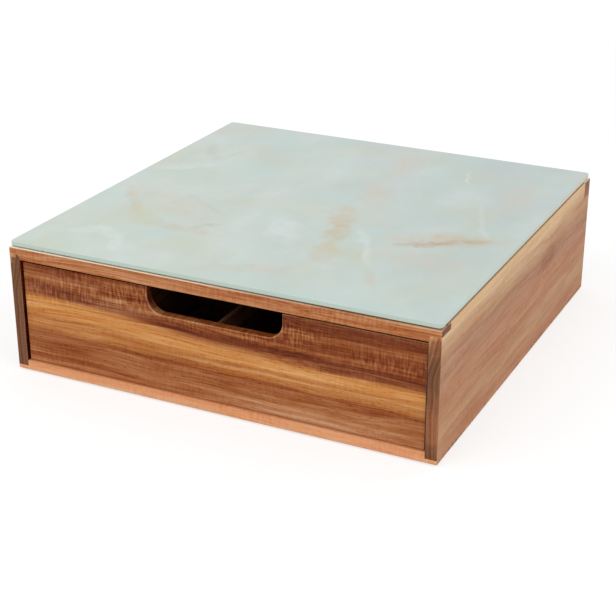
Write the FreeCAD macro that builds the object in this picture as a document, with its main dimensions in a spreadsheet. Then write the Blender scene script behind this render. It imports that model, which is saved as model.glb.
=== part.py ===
import FreeCAD, Part
import os
import re

import Sketcher

# A tea box: an acacia case under a glass plate, with one drawer that a grid divides into compartments.
#
# Lengths are in millimetres. +Z is up, the drawer opens towards -Y, and the origin is the middle of the
# footprint on the table. Left and right are as seen from the front.

SHEET = "Sizes"

SIZES = {
    # Case
    "box_width": 300.0,
    "box_depth": 300.0,
    "case_top": 88.0,  # top of the wood above the table
    "board": 8.0,  # sides and back panel
    "floor_board": 7.0,
    "floor_lip": 3.0,  # edge of the floor board left under each side
    "rail_depth": 14.0,
    "rail_height": 8.0,
    "rail_lap": 4.0,  # end of the front rail that lies over each side
    "rear_rail_depth": 13.0,
    "rear_rail_height": 12.0,
    "arris": 0.8,  # radius sanded on every outer edge
    # Anti-slip feet
    "foot_height": 1.0,
    "foot_diameter": 12.0,
    "foot_inset": 14.0,  # centre of a foot from the two outer faces
    # Glass plate and the clear pads that it is bonded to
    "glass_inset": 0.8,
    "glass_thickness": 3.2,
    "glass_corner": 2.5,
    "glass_arris": 0.4,
    "glass_pad_height": 0.8,
    "glass_pad_diameter": 6.0,
    # Drawer
    "side_gap": 1.0,
    "floor_gap": 0.5,
    "top_gap": 1.8,
    "back_gap": 0.8,
    "drawer_recess": 1.6,  # drawer front behind the front of the case
    "front_thickness": 7.0,
    "front_arris": 0.6,
    "drawer_board": 6.0,  # drawer sides and back
    "drawer_side_height": 61.5,
    "drawer_floor": 4.0,
    "drawer_floor_lift": 2.5,  # underside of the drawer floor above the drawer's lower edge
    "groove_depth": 3.0,  # grooves and rebates that hold the drawer together
    "tray_arris": 0.5,  # radius sanded along the top edges of the tray and its grid
    # Finger slot in the drawer front
    "slot_width": 95.0,
    "slot_depth": 17.6,
    "slot_corner": 11.0,
    "slot_arris": 1.0,
    # Grid
    "divider_thickness": 3.2,
    "divider_height": 45.0,
    "housing_depth": 2.0,  # groove that holds the end of each divider
    "columns": 4.0,
    "rows": 3.0,
}

DERIVED = {
    "inner_width": "box_width - 2 * board",
    "case_floor": "foot_height + floor_board",
    "side_bottom": "foot_height + floor_lip",
    "side_height": "case_top - side_bottom",
    "drawer_width": "inner_width - 2 * side_gap",
    "drawer_bottom_edge": "case_floor + floor_gap",
    "front_height": "case_top - rail_height - top_gap - drawer_bottom_edge",
    "front_y": "drawer_recess - box_depth / 2",
    "drawer_back_y": "box_depth / 2 - board - back_gap",
    "drawer_side_y": "front_y + front_thickness - groove_depth",
    "drawer_side_length": "drawer_back_y - drawer_side_y",
    "tray_width": "drawer_width - 2 * drawer_board",
    "tray_front_y": "front_y + front_thickness",
    "tray_depth": "drawer_back_y - drawer_board - tray_front_y",
    "tray_floor": "drawer_floor_lift + drawer_floor",
    "cell_width": "(tray_width - (columns - 1) * divider_thickness) / columns",
    "cell_depth": "(tray_depth - (rows - 1) * divider_thickness) / rows",
    "column_pitch": "cell_width + divider_thickness",
    "row_pitch": "cell_depth + divider_thickness",
    "glass_width": "box_width - 2 * glass_inset",
    "glass_depth": "box_depth - 2 * glass_inset",
}

doc = FreeCAD.newDocument("TeaBox")


def fill_sheet():
    sheet = doc.addObject("Spreadsheet::Sheet", SHEET)
    for row, (name, size) in enumerate(SIZES.items(), start=1):
        sheet.set(f"A{row}", name)
        sheet.set(f"B{row}", str(size))
        sheet.setAlias(f"B{row}", name)
    doc.recompute()
    return sheet


sheet = fill_sheet()


def rule(text):
    """The FreeCAD expression for a length written with the names in SIZES and DERIVED."""

    def expand(word):
        name = word.group()
        if name in DERIVED:
            return "(" + rule(DERIVED[name]) + ")"
        return SHEET + "." + name

    return re.sub("[a-z_]+", expand, text)


# Feature helpers


def add_body(label, x, y, z):
    """A body whose own origin is the corner of the piece with the least X, Y and Z."""
    body = doc.addObject("PartDesign::Body", label)
    body.Label = label
    for axis, place in zip("xyz", (x, y, z)):
        body.setExpression("Placement.Base." + axis, rule(place))
    return body


def add_sketch(body, name, plane, offset, *outlines):
    """A sketch of closed outlines of straight lines, each a list of corners written as two lengths.

    offset moves it along the plane's normal: +Z for XY, -Y for XZ and +X for YZ.
    """
    sketch = body.newObject("Sketcher::SketchObject", name)
    support = [o for o in body.Origin.OriginFeatures if o.Role == plane + "_Plane"][0]
    sketch.AttachmentSupport = (support, [""])
    sketch.MapMode = "FlatFace"
    sketch.setExpression("AttachmentOffset.Base.z", rule(offset))
    for corners in outlines:
        add_outline(sketch, corners)
    return sketch


def add_outline(sketch, corners):
    """Lines between corners that start out on a circle and that their expressions then put in place."""
    first = sketch.GeometryCount
    count = len(corners)
    turn = FreeCAD.Rotation(FreeCAD.Vector(0, 0, 1), 360.0 / count)
    points = [FreeCAD.Vector(50, 0, 0)]
    for _ in corners:
        points.append(turn.multVec(points[-1]))
    for start, end in zip(points, points[1:]):
        sketch.addGeometry(Part.LineSegment(start, end), False)
    for i in range(count):
        sketch.addConstraint(Sketcher.Constraint("Coincident", first + i, 2, first + (i + 1) % count, 1))
    for i, corner in enumerate(corners):
        for kind, place, length in zip(("DistanceX", "DistanceY"), points[i], corner):
            index = sketch.addConstraint(Sketcher.Constraint(kind, -1, 1, first + i, 1, place))
            sketch.setExpression(f"Constraints[{index}]", rule(length))


def rectangle(x, y, width, height):
    """The four corners of a rectangle, from its corner with the least x and y."""
    right = f"({x}) + ({width})"
    top = f"({y}) + ({height})"
    return [(x, y), (right, y), (right, top), (x, top)]


def pad(body, sketch, length):
    """Extrudes a sketch to the positive side of the body's origin."""
    feature = body.newObject("PartDesign::Pad", sketch.Name + "_pad")
    feature.Profile = sketch
    feature.setExpression("Length", rule(length))
    feature.Reversed = sketch.AttachmentSupport[0][0].Role == "XZ_Plane"
    doc.recompute()
    return feature


def pocket(body, sketch, length):
    """Cuts a sketch's outlines out: towards -Z from XY, +Y from XZ and -X from YZ."""
    before = body.Shape.Volume
    feature = body.newObject("PartDesign::Pocket", sketch.Name + "_cut")
    feature.Profile = sketch
    feature.setExpression("Length", rule(length))
    doc.recompute()
    if body.Shape.Volume > before - 0.1:
        raise RuntimeError(f"{feature.Name} removes nothing from {body.Label}")
    return feature


def repeat(body, feature, sketch, axis, pitch, count):
    """Repeats a pocket along one of its sketch's axes."""
    before = body.Shape.Volume
    pattern = body.newObject("PartDesign::LinearPattern", feature.Name + "_row")
    pattern.Originals = [feature]
    pattern.Direction = (sketch, [axis])
    pattern.Mode = "Spacing"
    pattern.setExpression("Offset", rule(pitch))
    pattern.setExpression("Occurrences", rule(count))
    body.Tip = pattern
    doc.recompute()
    if body.Shape.Volume > before - 0.1:
        raise RuntimeError(f"{pattern.Name} removes nothing from {body.Label}")
    return pattern


def round_edges(body, name, radius, wanted, kind="Fillet"):
    """Rounds, or chamfers, the edges of a body's last feature that wanted() picks."""
    last = body.Tip
    names = [f"Edge{i}" for i, edge in enumerate(last.Shape.Edges, start=1) if wanted(edge)]
    feature = body.newObject("PartDesign::" + kind, name)
    feature.Base = (last, names)
    feature.setExpression("Radius" if kind == "Fillet" else "Size", rule(radius))
    doc.recompute()
    return feature


# Tests that pick edges


def close(a, b):
    return abs(a - b) < 0.01


def middle(edge):
    return edge.valueAt((edge.FirstParameter + edge.LastParameter) / 2)


def faces_met(body, edge, low, high):
    """How many faces of the box from low to high hold the whole edge."""
    ends = [body.Placement.multVec(vertex.Point) for vertex in edge.Vertexes]
    count = 0
    for axis in range(3):
        for limit in (low[axis], high[axis]):
            count += all(close(end[axis], limit) for end in ends)
    return count


def sand_case_edges(body):
    """Rounds the edges of a piece that are edges of the whole case."""
    half_width = sheet.box_width / 2
    half_depth = sheet.box_depth / 2
    low = (-half_width, -half_depth, sheet.foot_height)
    high = (half_width, half_depth, sheet.case_top)
    return round_edges(body, body.Name + "_sanded", "arris", lambda edge: faces_met(body, edge, low, high) == 2)


def sand_top_edges(body):
    """Rounds the two long edges along the top of a plain board of the tray."""
    top = body.Tip.Shape.BoundBox.ZMax

    def along_top(edge):
        return edge.Length > 20 and all(close(vertex.Z, top) for vertex in edge.Vertexes)

    return round_edges(body, body.Name + "_sanded", "tray_arris", along_top)


# Case


def make_bottom_board():
    """The floor of the case, rebated along both sides so that only a thin lip shows under them."""
    body = add_body("bottom_board", "-box_width / 2", "-box_depth / 2", "foot_height")
    corners = [
        ("0", "0"),
        ("box_width", "0"),
        ("box_width", "floor_lip"),
        ("box_width - board", "floor_lip"),
        ("box_width - board", "floor_board"),
        ("board", "floor_board"),
        ("board", "floor_lip"),
        ("0", "floor_lip"),
    ]
    pad(body, add_sketch(body, "floor_section", "XZ", "0", corners), "box_depth")
    sand_case_edges(body)
    return body


def make_case_side(label, x):
    """A side, notched at its top corners for the two rails."""
    body = add_body(label, x, "-box_depth / 2", "side_bottom")
    rear = "box_depth - rear_rail_depth"
    corners = [
        ("0", "0"),
        ("box_depth", "0"),
        ("box_depth", "side_height - rear_rail_height"),
        (rear, "side_height - rear_rail_height"),
        (rear, "side_height"),
        ("rail_depth", "side_height"),
        ("rail_depth", "side_height - rail_lap"),
        ("0", "side_height - rail_lap"),
    ]
    pad(body, add_sketch(body, label + "_outline", "YZ", "0", corners), "board")
    sand_case_edges(body)
    return body


def make_front_rail():
    """The rail over the drawer, with half its height lapped over each side."""
    body = add_body("front_rail", "-box_width / 2", "-box_depth / 2", "case_top - rail_height")
    lap = "rail_height - rail_lap"
    corners = [
        ("board", "0"),
        ("box_width - board", "0"),
        ("box_width - board", lap),
        ("box_width", lap),
        ("box_width", "rail_height"),
        ("0", "rail_height"),
        ("0", lap),
        ("board", lap),
    ]
    pad(body, add_sketch(body, "front_rail_section", "XZ", "0", corners), "rail_depth")
    sand_case_edges(body)
    return body


def make_rear_rail():
    """The rail at the back, let through both sides at full section."""
    body = add_body("rear_rail", "-box_width / 2", "box_depth / 2 - rear_rail_depth", "case_top - rear_rail_height")
    corners = rectangle("0", "0", "box_width", "rear_rail_height")
    pad(body, add_sketch(body, "rear_rail_section", "XZ", "0", corners), "rear_rail_depth")
    sand_case_edges(body)
    return body


def make_back_panel():
    body = add_body("back_panel", "board - box_width / 2", "box_depth / 2 - board", "case_floor")
    corners = rectangle("0", "0", "inner_width", "case_top - rear_rail_height - case_floor")
    pad(body, add_sketch(body, "back_panel_outline", "XZ", "0", corners), "board")
    return body


def make_feet():
    feet = []
    for y_label, y_sign in (("front", "-"), ("rear", "")):
        for x_label, x_sign in (("left", "-"), ("right", "")):
            foot = doc.addObject("Part::Cylinder", f"foot_{y_label}_{x_label}")
            foot.setExpression("Radius", rule("foot_diameter / 2"))
            foot.setExpression("Height", rule("foot_height"))
            foot.setExpression("Placement.Base.x", rule(f"{x_sign}(box_width / 2 - foot_inset)"))
            foot.setExpression("Placement.Base.y", rule(f"{y_sign}(box_depth / 2 - foot_inset)"))
            feet.append(foot)
    return feet


# Glass plate


def make_glass_top():
    body = add_body("glass_top", "-glass_width / 2", "-glass_depth / 2", "case_top + glass_pad_height")
    corners = rectangle("0", "0", "glass_width", "glass_depth")
    pad(body, add_sketch(body, "glass_outline", "XY", "0", corners), "glass_thickness")
    round_edges(body, "glass_corners", "glass_corner", lambda edge: close(edge.Length, sheet.glass_thickness))
    round_edges(
        body,
        "glass_ground_edge",
        "glass_arris",
        lambda edge: not close(edge.Length, sheet.glass_thickness),
        kind="Chamfer",
    )
    return body


def make_glass_pads():
    """Clear pads on the tops of the rails and sides: one near each corner and one halfway along each edge."""
    beside = "(box_width / 2 - board / 2)"
    front = "-(box_depth / 2 - rail_depth / 2)"
    rear = "(box_depth / 2 - rear_rail_depth / 2)"
    spots = {
        "front_left": (f"-{beside}", front),
        "front_middle": ("0", front),
        "front_right": (beside, front),
        "middle_left": (f"-{beside}", "0"),
        "middle_right": (beside, "0"),
        "rear_left": (f"-{beside}", rear),
        "rear_middle": ("0", rear),
        "rear_right": (beside, rear),
    }
    pads = []
    for name, (x, y) in spots.items():
        clear_pad = doc.addObject("Part::Cylinder", f"glass_pad_{name}")
        clear_pad.setExpression("Radius", rule("glass_pad_diameter / 2"))
        clear_pad.setExpression("Height", rule("glass_pad_height"))
        clear_pad.setExpression("Placement.Base.x", rule(x))
        clear_pad.setExpression("Placement.Base.y", rule(y))
        clear_pad.setExpression("Placement.Base.z", rule("case_top"))
        pads.append(clear_pad)
    return pads


# Drawer


def make_drawer_front():
    """The drawer front, with the finger slot in its top edge and the rest of the drawer let into its back."""
    body = add_body("drawer_front", "-drawer_width / 2", "front_y", "drawer_bottom_edge")
    outline = rectangle("0", "0", "drawer_width", "front_height")
    pad(body, add_sketch(body, "front_outline", "XZ", "0", outline), "front_thickness")
    cut_finger_slot(body)
    box = body.Shape.BoundBox
    low = (box.XMin, box.YMin, box.ZMin)
    high = (box.XMax, box.YMax, box.ZMax)
    round_edges(
        body,
        "front_sanded",
        "front_arris",
        lambda edge: close(middle(edge).y, 0) and faces_met(body, edge, low, high) == 2,
    )
    back_face = "groove_depth - front_thickness"
    rebates = [
        rectangle("0", "0", "drawer_board", "drawer_side_height"),
        rectangle("drawer_width - drawer_board", "0", "drawer_board", "drawer_side_height"),
    ]
    pocket(body, add_sketch(body, "side_rebates", "XZ", back_face, *rebates), "groove_depth")
    groove = rectangle("drawer_board", "drawer_floor_lift", "tray_width", "drawer_floor")
    pocket(body, add_sketch(body, "front_floor_groove", "XZ", back_face, groove), "groove_depth")
    housing = rectangle("drawer_board + cell_width", "tray_floor", "divider_thickness", "divider_height")
    sketch = add_sketch(body, "front_housing", "XZ", "housing_depth - front_thickness", housing)
    repeat(body, pocket(body, sketch, "housing_depth"), sketch, "H_Axis", "column_pitch", "columns - 1")
    return body


def cut_finger_slot(body):
    """A notch open at the top, with round lower corners and every edge of it eased."""
    notch = rectangle("(drawer_width - slot_width) / 2", "front_height - slot_depth", "slot_width", "slot_depth")
    pocket(body, add_sketch(body, "slot_outline", "XZ", "0", notch), "front_thickness")
    box = body.Tip.Shape.BoundBox

    def inside_outline(edge):
        at = middle(edge)
        return box.XMin + 1 < at.x < box.XMax - 1 and box.ZMin + 1 < at.z < box.ZMax - 1

    round_edges(
        body,
        "slot_corners",
        "slot_corner",
        lambda edge: inside_outline(edge) and close(edge.Length, sheet.front_thickness),
    )
    round_edges(
        body,
        "slot_eased",
        "slot_arris",
        lambda edge: inside_outline(edge) and not close(edge.Length, sheet.front_thickness),
    )


def make_drawer_side(label, x, inner_face):
    """A drawer side, with the floor's groove, the cross dividers' housings and the rebate for the drawer back.

    inner_face is "left" or "right", the face of the side that looks into the drawer.
    """
    body = add_body(label, x, "drawer_side_y", "drawer_bottom_edge")
    outline = rectangle("0", "0", "drawer_side_length", "drawer_side_height")
    pad(body, add_sketch(body, label + "_outline", "YZ", "0", outline), "drawer_board")
    sand_top_edges(body)

    def from_inner_face(depth):
        """Where a cut starts that removes the given depth at the inner face."""
        return "drawer_board" if inner_face == "right" else depth

    deep = from_inner_face("groove_depth")
    groove = rectangle("0", "drawer_floor_lift", "drawer_side_length", "drawer_floor")
    pocket(body, add_sketch(body, label + "_floor_groove", "YZ", deep, groove), "groove_depth")
    rebate = rectangle("drawer_side_length - drawer_board", "0", "drawer_board", "drawer_side_height")
    pocket(body, add_sketch(body, label + "_back_rebate", "YZ", deep, rebate), "groove_depth")
    housing = rectangle("groove_depth + cell_depth", "tray_floor", "divider_thickness", "divider_height")
    sketch = add_sketch(body, label + "_housing", "YZ", from_inner_face("housing_depth"), housing)
    repeat(body, pocket(body, sketch, "housing_depth"), sketch, "H_Axis", "row_pitch", "rows - 1")
    return body


def make_drawer_back():
    width = "tray_width + 2 * groove_depth"
    body = add_body("drawer_back", f"-({width}) / 2", "drawer_back_y - drawer_board", "drawer_bottom_edge")
    outline = rectangle("0", "0", width, "drawer_side_height")
    pad(body, add_sketch(body, "back_outline", "XZ", "0", outline), "drawer_board")
    sand_top_edges(body)
    groove = rectangle("0", "drawer_floor_lift", width, "drawer_floor")
    pocket(body, add_sketch(body, "back_floor_groove", "XZ", "0", groove), "groove_depth")
    housing = rectangle("groove_depth + cell_width", "tray_floor", "divider_thickness", "divider_height")
    sketch = add_sketch(body, "back_housing", "XZ", "0", housing)
    repeat(body, pocket(body, sketch, "housing_depth"), sketch, "H_Axis", "column_pitch", "columns - 1")
    return body


def make_drawer_floor():
    width = "tray_width + 2 * groove_depth"
    depth = "tray_depth + 2 * groove_depth"
    body = add_body(
        "drawer_floor",
        f"-({width}) / 2",
        "tray_front_y - groove_depth",
        "drawer_bottom_edge + drawer_floor_lift",
    )
    pad(body, add_sketch(body, "drawer_floor_outline", "XY", "0", rectangle("0", "0", width, depth)), "drawer_floor")
    return body


# Grid: the long dividers run from front to back and are slotted from above, the cross dividers from below.


def make_long_divider(label, column):
    length = "tray_depth + 2 * housing_depth"
    body = add_body(
        label,
        f"-tray_width / 2 + cell_width + {column} * column_pitch",
        "tray_front_y - housing_depth",
        "drawer_bottom_edge + tray_floor",
    )
    outline = rectangle("0", "0", length, "divider_height")
    pad(body, add_sketch(body, label + "_outline", "YZ", "0", outline), "divider_thickness")
    sand_top_edges(body)
    halving = rectangle("housing_depth + cell_depth", "divider_height / 2", "divider_thickness", "divider_height / 2")
    sketch = add_sketch(body, label + "_halving", "YZ", "divider_thickness", halving)
    repeat(body, pocket(body, sketch, "divider_thickness"), sketch, "H_Axis", "row_pitch", "rows - 1")
    return body


def make_cross_divider(label, row):
    length = "tray_width + 2 * housing_depth"
    body = add_body(
        label,
        f"-({length}) / 2",
        f"tray_front_y + cell_depth + {row} * row_pitch",
        "drawer_bottom_edge + tray_floor",
    )
    outline = rectangle("0", "0", length, "divider_height")
    pad(body, add_sketch(body, label + "_outline", "XZ", "0", outline), "divider_thickness")
    sand_top_edges(body)
    halving = rectangle("housing_depth + cell_width", "0", "divider_thickness", "divider_height / 2")
    sketch = add_sketch(body, label + "_halving", "XZ", "0", halving)
    repeat(body, pocket(body, sketch, "divider_thickness"), sketch, "H_Axis", "column_pitch", "columns - 1")
    return body


def make_grid():
    long_dividers = ["divider_left", "divider_centre", "divider_right"]
    cross_dividers = ["cross_divider_front", "cross_divider_rear"]
    grid = [make_long_divider(label, column) for column, label in enumerate(long_dividers)]
    return grid + [make_cross_divider(label, row) for row, label in enumerate(cross_dividers)]


def check(pieces):
    for item in doc.Objects:
        if {"Invalid", "Error"} & set(item.State):
            raise RuntimeError(f"{item.Label} failed to build")
    for piece in pieces:
        if piece.Shape.isNull() or not piece.Shape.isValid():
            raise RuntimeError(f"{piece.Label} has no valid shape")


pieces = [
    make_bottom_board(),
    make_case_side("left_side", "-box_width / 2"),
    make_case_side("right_side", "box_width / 2 - board"),
    make_front_rail(),
    make_rear_rail(),
    make_back_panel(),
    *make_feet(),
    make_glass_top(),
    *make_glass_pads(),
    make_drawer_front(),
    make_drawer_side("drawer_left_side", "-drawer_width / 2", "right"),
    make_drawer_side("drawer_right_side", "drawer_width / 2 - drawer_board", "left"),
    make_drawer_back(),
    make_drawer_floor(),
    *make_grid(),
]
doc.recompute()
check(pieces)
os.makedirs("parts", exist_ok=True)
for piece in pieces:
    piece.Shape.exportStep(f"parts/{piece.Label}.step")
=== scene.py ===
"""Looks of the tea bag drawer box: oiled acacia boards, a printed glass top, clear pads and rubber feet.

The boards, the glass, the pads and the feet are the packed model's own solids. This file gives each of
them the material that the real one has, and sets up the studio floor, the lamps and the camera.
"""

import math

import bpy
from mathutils import Euler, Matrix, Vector


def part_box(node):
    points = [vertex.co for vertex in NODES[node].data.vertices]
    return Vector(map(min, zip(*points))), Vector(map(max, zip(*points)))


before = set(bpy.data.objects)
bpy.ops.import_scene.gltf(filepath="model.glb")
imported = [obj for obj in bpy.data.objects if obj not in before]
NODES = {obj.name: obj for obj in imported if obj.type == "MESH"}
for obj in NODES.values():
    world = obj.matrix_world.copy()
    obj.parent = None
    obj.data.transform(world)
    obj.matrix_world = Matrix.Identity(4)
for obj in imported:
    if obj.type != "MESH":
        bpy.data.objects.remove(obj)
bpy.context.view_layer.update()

bl_info = {
    "name": "Tea bag drawer box",
    "version": (1, 0, 0),
    "blender": (4, 5, 0),
    "location": "View3D > Sidebar > Tea box",
    "description": "Finishes of an acacia tea bag box with a drawer and a printed glass top",
    "category": "Material",
}

MM = 0.001

# Which way a board's grain runs
ACROSS_BOX = (1, 0, 0)
FRONT_TO_BACK = (0, 1, 0)

# How the nodes stand in the shader editor
NODE_STEP = (240, -220)
NODES_IN_COLUMN = 5


def linear(hex_colour):
    """Turns an sRGB hex colour such as "b87a48" to the linear colour that a shader takes."""
    parts = [int(hex_colour[i : i + 2], 16) / 255 for i in (0, 2, 4)]
    return [p / 12.92 if p <= 0.04045 else ((p + 0.055) / 1.055) ** 2.4 for p in parts]


def add_node(tree, kind, settings=None, inputs=None):
    """Adds one shader node with its settings and links.

    settings are the node's own options, with "stops" for a colour ramp's (place, colour) pairs. inputs
    give each socket, by name or number, a value, another node's socket, or a node, whose first output it
    then takes. A colour is three numbers.
    """
    new = tree.nodes.new(kind)
    column, row = divmod(len(tree.nodes), NODES_IN_COLUMN)
    new.location = (NODE_STEP[0] * column, NODE_STEP[1] * row)
    for name, value in (settings or {}).items():
        if name != "stops":
            setattr(new, name, value)
            continue
        elements = new.color_ramp.elements
        while len(elements) < len(value):
            elements.new(1.0)
        for i, (position, colour) in enumerate(value):
            elements[i].position = position
            elements[i].color = (*colour, 1.0)
    for name, value in (inputs or {}).items():
        socket = new.inputs[name]
        if isinstance(value, bpy.types.Node):
            value = value.outputs[0]
        if isinstance(value, bpy.types.NodeSocket):
            tree.links.new(value, socket)
        elif socket.type == "RGBA":
            socket.default_value = (*value, 1.0)
        else:
            socket.default_value = value
    return new


def new_material(name):
    """Makes an empty node material and returns it with its tree."""
    material = bpy.data.materials.new(name)
    material.use_nodes = True
    material.node_tree.nodes.clear()
    return material, material.node_tree


def dress(material, pieces):
    """Gives CAD nodes this material."""
    for name in pieces:
        piece = NODES[name]
        if piece.material_slots:
            for material_slot in piece.material_slots:
                material_slot.material = material
        else:
            piece.data.materials.append(material)


def middle_mm(pieces):
    """The middle of the box round some nodes, in millimetres."""
    corners = [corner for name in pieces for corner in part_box(name)]
    low = Vector([min(c[i] for c in corners) for i in range(3)])
    high = Vector([max(c[i] for c in corners) for i in range(3)])
    return (low + high) / 2 / MM


def colour_setting(label, hex_colour, description):
    """A colour that the user can change."""
    return bpy.props.FloatVectorProperty(
        name=label,
        description=description,
        subtype="COLOR",
        size=3,
        min=0.0,
        max=1.0,
        default=linear(hex_colour),
    )


def length_setting(label, millimetres, description):
    """A length that the user can change."""
    return bpy.props.FloatProperty(
        name=label,
        description=description,
        default=millimetres * MM,
        min=0.1 * MM,
        max=1.0,
        precision=4,
        unit="LENGTH",
        subtype="DISTANCE",
    )


class TeaBoxAcacia(bpy.types.PropertyGroup):
    """Colours and grain sizes of the oiled acacia"""

    # A painted highlight on the upward faces of the case's top edges and rails
    top_highlight_cream: colour_setting("Cream", "f0e2cf", "Bare sanded top edges of the case")
    sapwood: colour_setting("Sapwood", "d5b087", "Palest wood, next to the bark")
    peach: colour_setting("Peach", "dd9e72", "Pale wood of the bottom board")
    peach_light: colour_setting("Pale peach", "d6a67f", "Paler streaks of the bottom board")
    blond: colour_setting("Blond", "b58964", "Pale heartwood of the sides")
    rose: colour_setting("Rose", "a67859", "Pinkish heartwood of the sides")
    gold: colour_setting("Gold", "ca8d50", "Golden streak of the drawer front")
    honey: colour_setting("Honey", "b97c46", "Wood round the golden streak")
    clay: colour_setting("Clay", "b07a57", "Brownish heartwood of the sides")
    straw: colour_setting("Straw", "c3a07b", "Wood between the sapwood and the heartwood")
    cocoa: colour_setting("Cocoa", "a2643c", "Wood between the tan and the brown")
    rail: colour_setting("Rail", "b4764c", "Orange brown of the rails")
    tan: colour_setting("Tan", "ad6d42", "Middle brown heartwood")
    brown: colour_setting("Brown", "98592f", "Brown heartwood")
    russet: colour_setting("Russet", "884a28", "Reddish brown heartwood")
    streak: colour_setting("Dark streak", "713518", "Darkest streaks of the heartwood")
    end: colour_setting("End grain", "734c33", "Cut ends of the boards")
    end_light: colour_setting("Pale end grain", "935e3f", "Cut ends of the paler wood")
    end_pale: colour_setting("Sapwood end grain", "bd8757", "Cut ends of the sapwood")
    end_dark: colour_setting("Dark end grain", "6e4631", "Cut ends of the front rail")
    # The tray colours are dark heartwood made darker still, as painted shade for the inside of the closed box
    tray: colour_setting("Tray", "5f3c28", "Dark heartwood of the tray and its grid")
    tray_light: colour_setting("Light tray", "7b5238", "Paler streaks of the tray")
    pore_length: length_setting("Pore length", 7.0, "Length of the short dark lines of the open pores")
    fibre_width: length_setting("Fibre width", 0.7, "Width of one fine line of the grain")
    ripple_width: length_setting("Ripple width", 1.5, "Width of the soft bars where the fibres wave")


class TeaBoxGlass(bpy.types.PropertyGroup):
    """Colours of the print under the glass and of the glass's ground edge"""

    ground: colour_setting("Ground", "c5d1c4", "Pale green of the stone print")
    shade: colour_setting("Shade", "b0bebb", "Greyer green at the back right of the print")
    cloud: colour_setting("Cloud", "cfdad7", "Milky clouds in the print")
    vein: colour_setting("Vein", "c5a066", "Orange veins in the print")
    blush: colour_setting("Blush", "cbb9a2", "Soft pinkish bands beside the veins")
    vein_core: colour_setting("Vein core", "a87f4c", "Thin brown line in the strongest vein")
    smoke: colour_setting("Smoke", "b3b8ac", "Grey hairlines in the print")
    line: colour_setting("Line", "dee4df", "Thin whitish lines in the print")
    olive: colour_setting("Olive", "c0c098", "Yellow-green spots beside the veins")
    teal: colour_setting("Teal", "b1cfc9", "Bluish green patches in the print")
    # Painted reflection of the wood below in the glass's ground edge
    edge_wood_reflection: colour_setting("Edge by the wood", "c2b293", "Ground edge where it shows the wood under it")
    edge: colour_setting("Edge", "b4c4b9", "Ground edge of the glass")


class TeaBoxSoftParts(bpy.types.PropertyGroup):
    """Colours of the clear pads and the rubber feet"""

    pad_clear: colour_setting("Clear pad", "dfe3df", "Clearer silicone of the pads")
    pad_cloudy: colour_setting("Cloudy pad", "f0f2ee", "Cloudy spots in the pads")
    foot_dusty: colour_setting("Dusty foot", "c3bfb6", "Greyer rubber where dust sticks")
    foot_milky: colour_setting("Milky foot", "e4e1da", "Clean milky rubber of the feet")


class TeaBoxStage(bpy.types.PropertyGroup):
    """Camera, lamps and room light"""

    azimuth: bpy.props.FloatProperty(
        name="Camera azimuth",
        description="How far the camera stands round from the front, towards the right",
        default=math.radians(26.01),
        subtype="ANGLE",
        unit="ROTATION",
    )
    elevation: bpy.props.FloatProperty(
        name="Camera elevation",
        description="How far the camera looks down",
        default=math.radians(23.84),
        subtype="ANGLE",
        unit="ROTATION",
    )
    distance: bpy.props.FloatProperty(
        name="Camera distance",
        description="From the camera to the middle of the box",
        default=1.017,
        min=0.3,
        max=10.0,
        unit="LENGTH",
        subtype="DISTANCE",
    )
    lens: bpy.props.FloatProperty(
        name="Lens",
        description="Focal length in millimetres on a sensor 36 mm wide",
        default=84.4,
        min=20.0,
        max=300.0,
    )
    slide: bpy.props.FloatVectorProperty(
        name="Camera slide",
        description="How far the camera is moved to its right and up without turning",
        default=(-6.8 * MM, -23.8 * MM),
        size=2,
        unit="LENGTH",
        subtype="TRANSLATION",
    )
    daylight: bpy.props.FloatProperty(
        name="Room light",
        description="Strength of the even white light from all round",
        default=0.73,
        min=0.0,
        max=5.0,
    )
    key_power: bpy.props.FloatProperty(
        name="Key lamp",
        description="Power of the large soft lamp in front on the left",
        default=31.0,
        min=0.0,
        max=500.0,
        subtype="POWER",
        unit="POWER",
    )
    fill_power: bpy.props.FloatProperty(
        name="Side lamp",
        description="Power of the large soft lamp on the right",
        default=24.0,
        min=0.0,
        max=500.0,
        subtype="POWER",
        unit="POWER",
    )


# A change that starts and ends gently
SMOOTH = {"interpolation_type": "SMOOTHSTEP"}
# Nearly all of a noise's values lie between these
NOISE_LOW, NOISE_HIGH = 0.3, 0.7
# How squarely a face looks in a direction when it starts to count and when it counts in full, from 0 to 1
TURNED, FACING = 0.45, 0.85
# A mark has its full strength from this share of the way from its rim to its centre
MARK_FULL = 0.8


def grain_layer(tree, place, size, low, high, detail=2.0, roughness=0.5):
    """Streaks or clouds of a real size in mm along each axis, from low to high."""
    scale = [1 / length for length in size]
    stretched = add_node(tree, "ShaderNodeMapping", None, {"Vector": place, "Scale": scale})
    noise = add_node(
        tree,
        "ShaderNodeTexNoise",
        None,
        {"Vector": stretched, "Scale": 1.0, "Detail": detail, "Roughness": roughness},
    )
    return add_node(
        tree,
        "ShaderNodeMapRange",
        SMOOTH,
        {"Value": noise, "From Min": NOISE_LOW, "From Max": NOISE_HIGH, "To Min": low, "To Max": high},
    )


def soft_mark(tree, place, centre, reach, turn, low, high):
    """An oval mark that fades from high at its centre to low at its rim, with its half lengths as reach."""
    spot = add_node(
        tree,
        "ShaderNodeMapping",
        {"vector_type": "TEXTURE"},
        {"Vector": place, "Location": centre, "Rotation": turn, "Scale": reach},
    )
    fade = add_node(tree, "ShaderNodeTexGradient", {"gradient_type": "SPHERICAL"}, {"Vector": spot})
    return add_node(
        tree,
        "ShaderNodeMapRange",
        {"interpolation_type": "SMOOTHERSTEP"},
        {"Value": fade.outputs["Fac"], "From Min": 0.0, "From Max": MARK_FULL, "To Min": low, "To Max": high},
    )


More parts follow.
